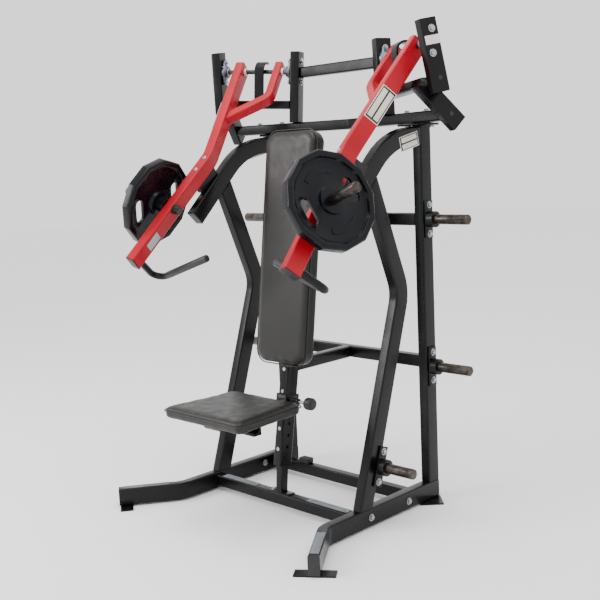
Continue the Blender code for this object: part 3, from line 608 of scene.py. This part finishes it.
def storage_horn(stem, plate_height, lean):
    """Bar, collar and flange on both hands; gives the flange's foot and its upward direction."""
    low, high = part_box(f"left_{stem}_storage_horn")
    middle = (low + high) / 2
    upward = Vector((0, sin(lean), cos(lean)))
    start = Vector((low.x, middle.y, middle.z))
    reach = high.x - low.x
    bar = turn_piece([(0, 0.010), (0.0208, 0.010), (0.021, reach - 0.004), (0.0203, reach - 0.0015),
                      (0.0185, reach), (0, reach)])
    settle(bar, "bar", horn_steel, look_along(start, X_AXIS, upward))
    both_hands(bar, f"{stem}_storage_bar", "horn_steel", "frame", "{hand}_" + stem + "_storage_horn")
    ring = turn_piece([(0.0212, 0.012), (0.0325, 0.012), (0.034, 0.0135), (0.034, 0.0425),
                       (0.0325, 0.044), (0.0212, 0.044)])
    settle(ring, "ring", collar_black, look_along(start, X_AXIS, upward))
    both_hands(ring, f"{stem}_storage_collar", "horn_steel", "frame")
    flange = rounded_block((plate_height, 0.048, 0.0078), 0.0015)
    settle(flange, "flange", black_coat, look_along(start + X_AXIS * 0.0041, X_AXIS, upward))
    both_hands(flange, f"{stem}_storage_flange", "frame_enamel", "frame")
    return start, upward


upper_horn = storage_horn("upper", 0.155, 0.0)
lower_horn = storage_horn("lower", 0.170, 0.0)
leg_horn = storage_horn("leg", 0.165, radians(18.3))
print("six storage horns")

# %% [markdown]
# ## Press handles
# A handle is a bent round tube with a rubber sleeve on its grip. The tube is a curve with a round
# bevel along a filleted line; the sleeve is slightly fatter and has a domed end.

# %% Press handles


def bend_path(points, radius, steps=10):
    """A line through the points with each corner turned to an arc."""
    path = [points[0].copy()]
    for before, corner, after in zip(points, points[1:], points[2:]):
        arriving = (corner - before).normalized()
        leaving = (after - corner).normalized()
        turn = arriving.angle(leaving)
        first = corner - arriving * (radius * tan(turn / 2))
        centre = first + (leaving - arriving * arriving.dot(leaving)).normalized() * radius
        axis = arriving.cross(leaving).normalized()
        for step in range(steps + 1):
            path.append(centre + Matrix.Rotation(turn * step / steps, 3, axis) @ (first - centre))
    path.append(points[-1].copy())
    return path


def round_bar(points, radius):
    """A closed round bar along a line."""
    data = bpy.data.curves.new("bar", "CURVE")
    data.dimensions = "3D"
    data.bevel_depth = radius
    data.bevel_resolution = 8
    data.use_fill_caps = True
    spline = data.splines.new("POLY")
    spline.points.add(len(points) - 1)
    for point, place_at in zip(spline.points, points):
        point.co = (*place_at, 1)
    piece = bpy.data.objects.new("bar", data)
    bpy.context.collection.objects.link(piece)
    only(piece)
    bpy.ops.object.convert(target="MESH")
    made = bpy.context.object
    only(made)
    bpy.ops.object.mode_set(mode="EDIT")
    bpy.ops.mesh.select_all(action="SELECT")
    bpy.ops.mesh.remove_doubles(threshold=0.00001)
    bpy.ops.mesh.normals_make_consistent(inside=False)
    bpy.ops.object.mode_set(mode="OBJECT")
    shade(made, 40)
    return made


root = arm(0.180, 1.046, ARM_DEPTH / 2 + 0.0006)
corner = arm(0.172, 1.040, 0.1945)
tip = arm(-0.130, 1.007, 0.033)
grip_dir = (tip - corner).normalized()
path = bend_path([root, corner, tip - grip_dir * 0.008], 0.045)
handle = settle(round_bar(path, 0.0150), "handle", black_coat)
both_hands(handle, "handle_tube", "handle_rubber", "{hand}_arm", "{hand}_press_handle")
sleeve_start = corner + grip_dir * 0.075
sleeve_length = (tip - sleeve_start).length
sleeve = turn_piece([(0.0152, 0.0), (0.0158, 0.0004), (0.0160, 0.002), (0.0160, sleeve_length - 0.008),
                     (0.0148, sleeve_length - 0.003), (0.0105, sleeve_length - 0.0005), (0, sleeve_length)])
settle(sleeve, "sleeve", grip_rubber, look_along(sleeve_start, grip_dir))
both_hands(sleeve, "handle_sleeve", "handle_rubber", "{hand}_arm")
print("grip sleeve length", round(sleeve_length, 3))

# %% [markdown]
# ## Seat pin
# The pull pin has a steel stem and a fluted plastic knob. The knob is spun round, and its sides are
# then drawn inwards twelve times on the way round to make the flutes.

# %% Seat pin
pin_low, pin_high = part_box("seat_pin")
pin_start = Vector((pin_low.x, (pin_low.y + pin_high.y) / 2, (pin_low.z + pin_high.z) / 2))
pin_length = pin_high.x - pin_low.x
knob = turn_piece([(0, pin_length - 0.041), (0.016, pin_length - 0.0405), (0.0255, pin_length - 0.035),
                   (0.027, pin_length - 0.029), (0.027, pin_length - 0.007), (0.0235, pin_length - 0.0012),
                   (0.018, pin_length), (0, pin_length)], 36)
for vertex in knob.data.vertices:
    spoke = Vector((vertex.co.x, vertex.co.y))
    if spoke.length > 0.0235:
        turn_at = spoke.angle_signed(Vector((1, 0)))
        scale = 1 - 0.07 * (0.5 - 0.5 * cos(12 * turn_at))
        vertex.co.x *= scale
        vertex.co.y *= scale
settle(knob, "seat_pin_knob", cap_plastic, look_along(pin_start, X_AXIS))
stem = turn_piece([(0, 0), (0.005, 0), (0.006, 0.001), (0.006, pin_length - 0.040),
                   (0, pin_length - 0.040)], 24)
settle(stem, "seat_pin_stem", zinc, look_along(pin_start, X_AXIS))
for piece in (knob, stem):
    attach(piece, "seat_pull_pin")
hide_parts("seat_pin")
print("pin length", round(pin_length, 3))

# %% [markdown]
# ## Padding
# Each pad is plywood, foam and vinyl. The cushion could be sculpted, but a block that is remeshed
# and inflated by a short cloth simulation crowns its faces and rounds its edges by itself. The
# movement is capped at 6 mm, so that it keeps close to its solid. A welt runs round it where the
# face meets the sides, and the board behind it is a slab with eased edges.

# %% Pads


def outline_block(width_low, width_high, height, thickness, corner):
    """A block with rounded upright corners, wider at its low end."""
    bpy.ops.mesh.primitive_cube_add(size=1)
    piece = bpy.context.object
    piece.data.transform(Matrix.Diagonal((1, height, thickness, 1)))
    for vertex in piece.data.vertices:
        vertex.co.x *= width_high if vertex.co.y > 0 else width_low
    upright = [edge for edge in piece.data.edges
               if abs(piece.data.vertices[edge.vertices[0]].co.z
                      - piece.data.vertices[edge.vertices[1]].co.z) > thickness / 2]
    only(piece)
    weights = piece.data.attributes.new("bevel_weight_edge", "FLOAT", "EDGE")
    for edge in upright:
        weights.data[edge.index].value = 1.0
    step = piece.modifiers.new("corners", "BEVEL")
    step.limit_method = "WEIGHT"
    step.width = corner
    step.segments = 10
    bpy.ops.object.modifier_apply(modifier=step.name)
    return piece


def inflate(piece, voxel, limit):
    """Swell a closed mesh with cloth under pressure, moving no point further than the limit."""
    only(piece)
    step = piece.modifiers.new("remesh", "REMESH")
    step.mode = "VOXEL"
    step.voxel_size = voxel
    bpy.ops.object.modifier_apply(modifier=step.name)
    rest = [vertex.co.copy() for vertex in piece.data.vertices]
    cloth = piece.modifiers.new("cloth", "CLOTH")
    cloth.settings.use_pressure = True
    cloth.settings.uniform_pressure_force = 4
    cloth.settings.effector_weights.gravity = 0
    cloth.point_cache.frame_end = 20
    for number in range(1, 21):
        bpy.context.scene.frame_set(number)
    only(piece)
    bpy.ops.object.modifier_apply(modifier=cloth.name)
    bpy.context.scene.frame_set(1)
    for vertex, start in zip(piece.data.vertices, rest):
        move = vertex.co - start
        if move.length > limit:
            vertex.co = start + move.normalized() * limit
    smooth = piece.modifiers.new("smooth", "SMOOTH")
    smooth.factor = 0.5
    smooth.iterations = 6
    bpy.ops.object.modifier_apply(modifier=smooth.name)
    fine = piece.modifiers.new("fine", "SUBSURF")
    fine.levels = 1
    fine.render_levels = 1
    bpy.ops.object.modifier_apply(modifier=fine.name)
    piece.data.shade_smooth()
    return piece


def piping(name, width_low, width_high, length, corner, level, place_at, body):
    """A sewn welt round the cushion, half sunk where its face meets its sides."""
    corners = []
    for x, y in ((width_high / 2, length / 2), (-width_high / 2, length / 2),
                 (-width_low / 2, -length / 2), (width_low / 2, -length / 2)):
        corners.append(Vector((x, y, level)))
    middle = (corners[3] + corners[0]) / 2
    line = bend_path([middle, *corners, middle], corner)
    data = bpy.data.curves.new(name, "CURVE")
    data.dimensions = "3D"
    data.bevel_depth = 0.0026
    data.bevel_resolution = 3
    spline = data.splines.new("POLY")
    spline.points.add(len(line) - 2)
    for point, spot in zip(spline.points, line):
        point.co = (*spot, 1)
    spline.use_cyclic_u = True
    welt = bpy.data.objects.new(name, data)
    bpy.context.collection.objects.link(welt)
    only(welt)
    bpy.ops.object.convert(target="MESH")
    welt = bpy.context.object
    shade(welt, 60)
    settle(welt, name, vinyl, place_at)
    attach(welt, body)


def upholster(node, name, width_low, width_high, length, thickness, board, corner, place_at, body):
    """A cushion with its welt, on a board that is a little smaller."""
    under = board * 0.45
    foam_depth = thickness - under - 0.004
    foam_length = length - 0.004
    foam = outline_block(width_low, width_high, foam_length, foam_depth, corner)
    ease_edges(foam, 0.011, 4, 60)
    foam.data.transform(Matrix.Translation((0, 0, under + foam_depth / 2)))
    inflate(foam, 0.006, 0.006)
    settle(foam, name, vinyl, place_at)
    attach(foam, body)
    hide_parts(node)
    piping(f"{node}_piping", width_low, width_high, foam_length, corner, thickness - 0.016,
           place_at, body)
    panel = outline_block(width_low - 0.050, width_high - 0.050, length - 0.050, board - 0.0005, corner)
    panel.data.transform(Matrix.Translation((0, 0, board / 2)))
    ease_edges(panel, 0.002, 2, 60)
    shade(panel)
    settle(panel, f"{node}_board", board_black, place_at)
    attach(panel, body)
    print(name, len(foam.data.polygons), "faces")


PAD_LEAN = radians(7.8)
PAD_THICK = 0.078
low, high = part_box("back_pad")
pad_up = Vector((0, sin(PAD_LEAN), cos(PAD_LEAN)))
pad_out = X_AXIS.cross(pad_up)
pad_length = (high.z - low.z - PAD_THICK * sin(PAD_LEAN)) / cos(PAD_LEAN)
pad_middle = (low + high) / 2 - pad_out * (PAD_THICK / 2)
upholster("back_pad", "back_cushion", 0.300, 0.300, pad_length, PAD_THICK, 0.016, 0.060,
          look_along(pad_middle, pad_out, X_AXIS), "frame")
low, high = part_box("seat_pad")
seat_middle = Vector((0, (low.y + high.y) / 2, low.z))
upholster("seat_pad", "seat_cushion", 0.480, 0.420, high.y - low.y, 0.050, 0.008, 0.030,
          Matrix.Translation(seat_middle), "seat")

# %% [markdown]
# ## Bolts and washers
# Every bolt is modelled once: a hexagon with eased corners on a round washer. It is copied to each
# place and turned to face out of its surface. Bolts on the same body are joined to one piece.

# %% Bolts


def hex_bolt(head, height, washer):
    """A hexagon head on a washer, both given by radius."""
    bpy.ops.mesh.primitive_cylinder_add(vertices=6, radius=head, depth=height)
    body_part = bpy.context.object
    body_part.data.transform(Matrix.Translation((0, 0, height / 2 + 0.002)))
    ease_edges(body_part, height * 0.14, 2)
    ring = turn_piece([(0, 0), (washer, 0), (washer, 0.0016), (washer - 0.0006, 0.0022), (0, 0.0022)], 28)
    return join_all([body_part, ring])


def screw_head(radius, height):
    """A button head with a small socket."""
    return turn_piece([(0, 0), (radius, 0), (radius * 0.96, height * 0.4), (radius * 0.75, height * 0.85),
                       (radius * 0.45, height), (radius * 0.4, height * 0.55), (0, height * 0.5)], 28)


def fastener_set(name, pattern, places, finish, body):
    """Copies of one fastener at (place, direction) pairs, joined."""
    parts = []
    for spot, direction in places:
        copy = pattern.copy()
        copy.data = pattern.data.copy()
        copy.data.transform(look_along(spot, direction))
        bpy.context.collection.objects.link(copy)
        parts.append(copy)
    piece = settle(join_all(parts), name, finish)
    shade(piece, 30)
    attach(piece, body)
    return piece


def on_both(places):
    """Left-hand places, followed by their mirror images."""
    flipped = [(Vector((-p.x, p.y, p.z)), Vector((-d.x, d.y, d.z))) for p, d in places]
    return places + flipped


bolt = hex_bolt(0.0105, 0.0075, 0.0150)
small_bolt = hex_bolt(0.0085, 0.0060, 0.0120)
button = screw_head(0.0095, 0.0050)
rivet = screw_head(0.0050, 0.0020)
flat_screw = turn_piece([(0, 0), (0.0085, 0), (0.0080, 0.0004), (0.003, 0.0004), (0, 0.0002)], 24)
print("fastener patterns made")

# %% [markdown]
# ## Where the bolts go
# The bolts stand where parts of the frame are joined: base tube to cross tubes, top beam to the
# uprights' plates, bearings to posts and towers, and flanges of the storage horns to their tubes.

# %% Places of the bolts
TOWER_MID = 0.1107
POST_MID = -0.283
HALF = 0.022
BEARING_BOLT = 0.0465
BEARING_FOOT = 0.013
FLANGE_FACE = 0.008
UPRIGHT_X = 0.433
beam_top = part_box("top_beam")[1].z
beam_y = 0.008
beam_slope = tan(radians(13))
frame_spots = [(at(0.456, -0.394, 0.045), X_AXIS), (at(0.456, -0.148, 0.042), X_AXIS),
               (at(0.410, -0.163, 0.048), -X_AXIS)]
for x in (0.372, 0.494):
    y = beam_y + beam_slope * (UPRIGHT_X - x)
    frame_spots.append((at(x, y, beam_top), Z_AXIS))
    frame_spots.append((at(x, 0.028, 1.6098), -Z_AXIS))
for lift in (-BEARING_BOLT, BEARING_BOLT):
    frame_spots.append((pivot(TOWER_MID + HALF, 0.0, lift), ACROSS))
    frame_spots.append((pivot(POST_MID - HALF, 0.0, lift), -ACROSS))
for start, upward in (upper_horn, lower_horn):
    for lift in (-0.0605, 0.0605):
        frame_spots.append((start + X_AXIS * FLANGE_FACE + upward * lift, X_AXIS))
for lift in (-0.062, 0.062):
    frame_spots.append((leg_horn[0] + X_AXIS * FLANGE_FACE + leg_horn[1] * lift, X_AXIS))
fastener_set("frame_bolts", bolt, on_both(frame_spots), zinc, "frame")
nut_spots = []
for lift in (-BEARING_BOLT, BEARING_BOLT):
    nut_spots.append((pivot(TOWER_MID - HALF - BEARING_FOOT, 0, lift), -ACROSS))
    nut_spots.append((pivot(POST_MID + HALF + BEARING_FOOT, 0, lift), ACROSS))
fastener_set("bearing_nuts", small_bolt, on_both(nut_spots), zinc, "frame")
print("bolts", 2 * len(frame_spots), "nuts", 2 * len(nut_spots))

# %% [markdown]
# ## Small screws
# Two bolts hold the seat post's foot, four flat screws hold the strip on its front face, and two
# button heads stand on the front of each arm, just below its elbow.

# %% Screws of the seat post and the arms
CROSS_Y = -0.453
cross_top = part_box("front_cross_tube")[1].z
foot_spots = [(at(x, CROSS_Y, cross_top + 0.004), Z_AXIS) for x in (-0.045, 0.045)]
fastener_set("post_foot_bolts", small_bolt, foot_spots, zinc, "frame")
POST_LEAN = radians(10)
post_front = Vector((0, -cos(POST_LEAN), sin(POST_LEAN)))
post_spots = []
lowest = 0.261
for z in (0.601, 0.507, 0.348, lowest):
    centre = at(0, -0.4295 + (z - lowest) * tan(POST_LEAN), z)
    post_spots.append((centre + post_front * 0.035, post_front))
fastener_set("guide_strip_screws", flat_screw, post_spots, zinc, "frame")
front = -BEHIND_ARM
face = front * (ARM_DEPTH / 2)
arm_spots = on_both([(arm(0.006, 0.535) + face, front), (arm(0.028, 0.600) + face, front)])
for hand, spots in (("left", arm_spots[:2]), ("right", arm_spots[2:])):
    fastener_set(f"{hand}_arm_screws", button, spots, zinc, f"{hand}_arm")
for pattern in (bolt, small_bolt, button, flat_screw):
    bpy.data.objects.remove(pattern)
print("small screws", len(foot_spots) + len(post_spots) + len(arm_spots))

# %% [markdown]
# ## Tube caps
# A moulded plastic cap is pressed into each open tube end. It is a thin block with round edges, a
# little smaller than the tube, so that the tube's edge shows round it.

# %% Tube caps


def cap(width, depth, centre, outward, side):
    """A moulded cap, a little smaller than its tube, on the tube's end."""
    piece = rounded_block((width - 0.001, depth - 0.001, 0.005), 0.0022, 3)
    return settle(piece, "cap", cap_plastic, look_along(centre + outward * 0.0026, outward, side))


LEG_SPLAY = radians(35.5)
LEG_KNEE = at(UPRIGHT_X, -0.6535, 0.0447)
TUBE_WIDTH = 0.046
leg_out = Vector((sin(LEG_SPLAY), -cos(LEG_SPLAY), 0))
leg_side = Vector((cos(LEG_SPLAY), sin(LEG_SPLAY), 0))
leg_cap = cap(TUBE_WIDTH, 0.0766, LEG_KNEE + leg_out * 0.279, leg_out, leg_side)
both_hands(leg_cap, "leg_cap", "pin_plastic", "frame")
hoop_end = at(UPRIGHT_X, -0.4875, 1.259)
hoop_out = (hoop_end - at(UPRIGHT_X, -0.190, 1.558)).normalized()
both_hands(cap(TUBE_WIDTH, 0.074, hoop_end, hoop_out, X_AXIS), "hoop_cap", "pin_plastic", "frame")
arm_out = LOWER.cross(BEHIND_ARM).normalized()
arm_cap = cap(ARM_WIDTH, ARM_DEPTH, arm(*ARM_END), LOWER, arm_out)
both_hands(arm_cap, "arm_cap", "pin_plastic", "{hand}_arm")
print("caps on legs, hoops and arms")

# %% [markdown]
# ## Painted highlight strips and rubber block
# Pale grey-blue strips lie on the top faces of the low tubes, a painted highlight where these
# faces catch the light from above. They are thin slabs, and those on the front cross tube have
# small rivet heads. A moulded rubber block stands on the rear tube, and a thin steel flange lies
# under the seat post's foot.

# %% Painted highlight strips and rubber block


def strip(name, centre, length, width, along):
    """A pale strip on top of a tube; its colour is a painted highlight of the tube's lit top face."""
    piece = rounded_block((length, width, 0.0012), 0.0005, 2)
    settle(piece, name, painted_highlight_strip_finish, look_along(centre, Z_AXIS, along))
    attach(piece, "frame")
    return piece


# The strips' pale colour is a painted highlight where the low tubes' top faces catch the light.
strip("left_cross_strip", at(0.275, CROSS_Y, cross_top + 0.0007), 0.230, 0.036, X_AXIS)
strip("right_cross_strip", at(-0.260, CROSS_Y, cross_top + 0.0007), 0.220, 0.036, X_AXIS)
base_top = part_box("left_base_tube")[1].z
for hand, side in SIDES.items():
    middle = at(UPRIGHT_X, -0.6535, base_top + 0.0007) + leg_out * 0.160
    along = leg_out.copy()
    middle.x *= side
    along.x *= side
    strip(f"{hand}_leg_strip", middle, 0.200, 0.034, along)
rivet_spots = []
for x in (0.170, 0.380, -0.160, -0.360):
    rivet_spots.append((at(x, CROSS_Y, cross_top + 0.0012), Z_AXIS))
fastener_set("strip_rivets", rivet, rivet_spots, zinc, "frame")
bpy.data.objects.remove(rivet)
rear_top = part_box("rear_cross_tube")[1].z
stop = rounded_block((0.060, 0.040, 0.024), 0.004)
settle(stop, "rear_rubber_stop", rubber, Matrix.Translation(at(-0.200, -0.092, rear_top + 0.0125)))
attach(stop, "frame")
foot_flange = rounded_block((0.125, 0.042, 0.004), 0.0012)
foot_place = Matrix.Translation(at(0, CROSS_Y, cross_top + 0.0022))
settle(foot_flange, "post_foot_flange", black_coat, foot_place)
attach(foot_flange, "frame")
print("strips with", len(rivet_spots), "rivets, block and foot flange")

# %% [markdown]
# ## Blank plates and labels
# The arms, hoops and towers carry printed plates and labels. Plain ones stand in their place: a
# pale rim, a field inside it and, on the larger plates, two plain bands. Layers under a millimetre
# thick were chosen instead of a printed pattern, because they keep their edges from close by.

# %% Blank plates and labels


def blank_plate(stem, size, centre, outward, along, body, face=plain_plate, edge=plate_border):
    """A printed plate without its print, on both hands."""
    rim = rounded_block((size[0], size[1], 0.0012), 0.0005, 2)
    settle(rim, "rim", edge, look_along(centre + outward * 0.0007, outward, along))
    both_hands(rim, f"{stem}_rim", "arm_enamel", body)
    field = rounded_block((size[0] - 0.007, size[1] - 0.007, 0.0008), 0.0003, 2)
    settle(field, "field", face, look_along(centre + outward * 0.0016, outward, along))
    both_hands(field, f"{stem}_field", "arm_enamel", body)
    if face is plain_plate:
        side = outward.cross(along)
        bands = []
        for shift in (-0.5, 0.5):
            band = rounded_block((size[0] - 0.022, size[1] * 0.33, 0.0006), 0.0002, 2)
            spot = centre + outward * 0.0022 + side * (shift * (size[1] * 0.44))
            bands.append(settle(band, "band", edge, look_along(spot, outward, along)))
        joined = settle(join_all(bands), "bands", edge)
        both_hands(joined, f"{stem}_bands", "arm_enamel", body)


blank_plate("arm_plate", (0.150, 0.069), arm(ARM_WIDTH / 2, 0.290), ACROSS, ALONG_ARM, "{hand}_arm")
blank_plate("hoop_plate", (0.122, 0.060), at(0.456, -0.078, 1.546), X_AXIS,
            Vector((0, 0.97, 0.22)).normalized(), "frame")
TOWER_LEAN = radians(9.8)
tower_up = UPWARD * cos(TOWER_LEAN) - BACK * sin(TOWER_LEAN)
blank_plate("tower_label", (0.066, 0.034), pivot(TOWER_MID + HALF, 0.002, 0.004), ACROSS,
            tower_up.cross(ACROSS), "frame", pale_label, pale_label)
blank_plate("arm_label", (0.075, 0.042), ELBOW + LOWER * 0.470 - arm_out * (ARM_WIDTH / 2), -arm_out,
            LOWER, "{hand}_arm", silver_label, silver_label)
print("blank plates and labels on arms, hoops and towers")

# %% [markdown]
# ## Bearing inserts
# A flange bearing holds a steel insert whose inner ring stands out of the housing and is locked to
# the shaft by a set screw. The ring is spun like the horns, and the screw is a small head on it.

# %% Inserts and set screws
insert_shape = [(0.0158, 0.0264), (0.0192, 0.0264), (0.0200, 0.0272), (0.0200, 0.0300),
                (0.0192, 0.0308), (0.0158, 0.0308)]
for stem, spot, way in (("post_insert", pivot(POST_MID + HALF, 0, 0), ACROSS),
                        ("tower_insert", pivot(TOWER_MID - HALF, 0, 0), -ACROSS)):
    ring = turn_piece(insert_shape, 40)
    screw = screw_head(0.0022, 0.0012)
    screw.data.transform(look_along(spot + way * 0.0286 - BACK * 0.0199, -BACK))
    ring = settle(ring, stem, zinc, look_along(spot, way))
    screw = settle(screw, "set_screw", zinc)
    both_hands(join_all([ring, screw]), stem, "bearing_zinc", "frame")
print("four bearing inserts")

# %% [markdown]
# ## Hub bushings and plugs
# White nylon bushings sit where the shaft passes through the arm and its branch, and black plugs
# close the spare holes of the tower and the brace.

# %% Bushings and plugs
bushing = [(0.0105, 0.0), (0.0170, 0.0), (0.0175, 0.0015), (0.0175, 0.008), (0.0165, 0.0095),
           (0.0105, 0.0095)]
hub_side = -ARM_WIDTH / 2 - 0.0006
branch_side = -0.190 - 0.0198
for stem, offset in (("hub_bushing", hub_side), ("branch_bushing", branch_side)):
    ring = turn_piece(bushing, 36)
    settle(ring, stem, nylon, look_along(pivot(offset, 0, 0), -ACROSS))
    both_hands(ring, stem, "pin_plastic", "{hand}_arm")
plug_shape = [(0, 0), (0.0095, 0), (0.0090, 0.0015), (0.006, 0.0024), (0, 0.0026)]
for stem, spot in (("tower_plug", pivot(TOWER_MID + HALF, 0.026, -0.140)),
                   ("brace_plug", pivot(TOWER_MID - HALF - 0.0008, 0.094, -0.273))):
    dot = turn_piece(plug_shape, 28)
    settle(dot, stem, cap_plastic, look_along(spot, ACROSS))
    both_hands(dot, stem, "pin_plastic", "frame")
print("bushings and hole plugs")
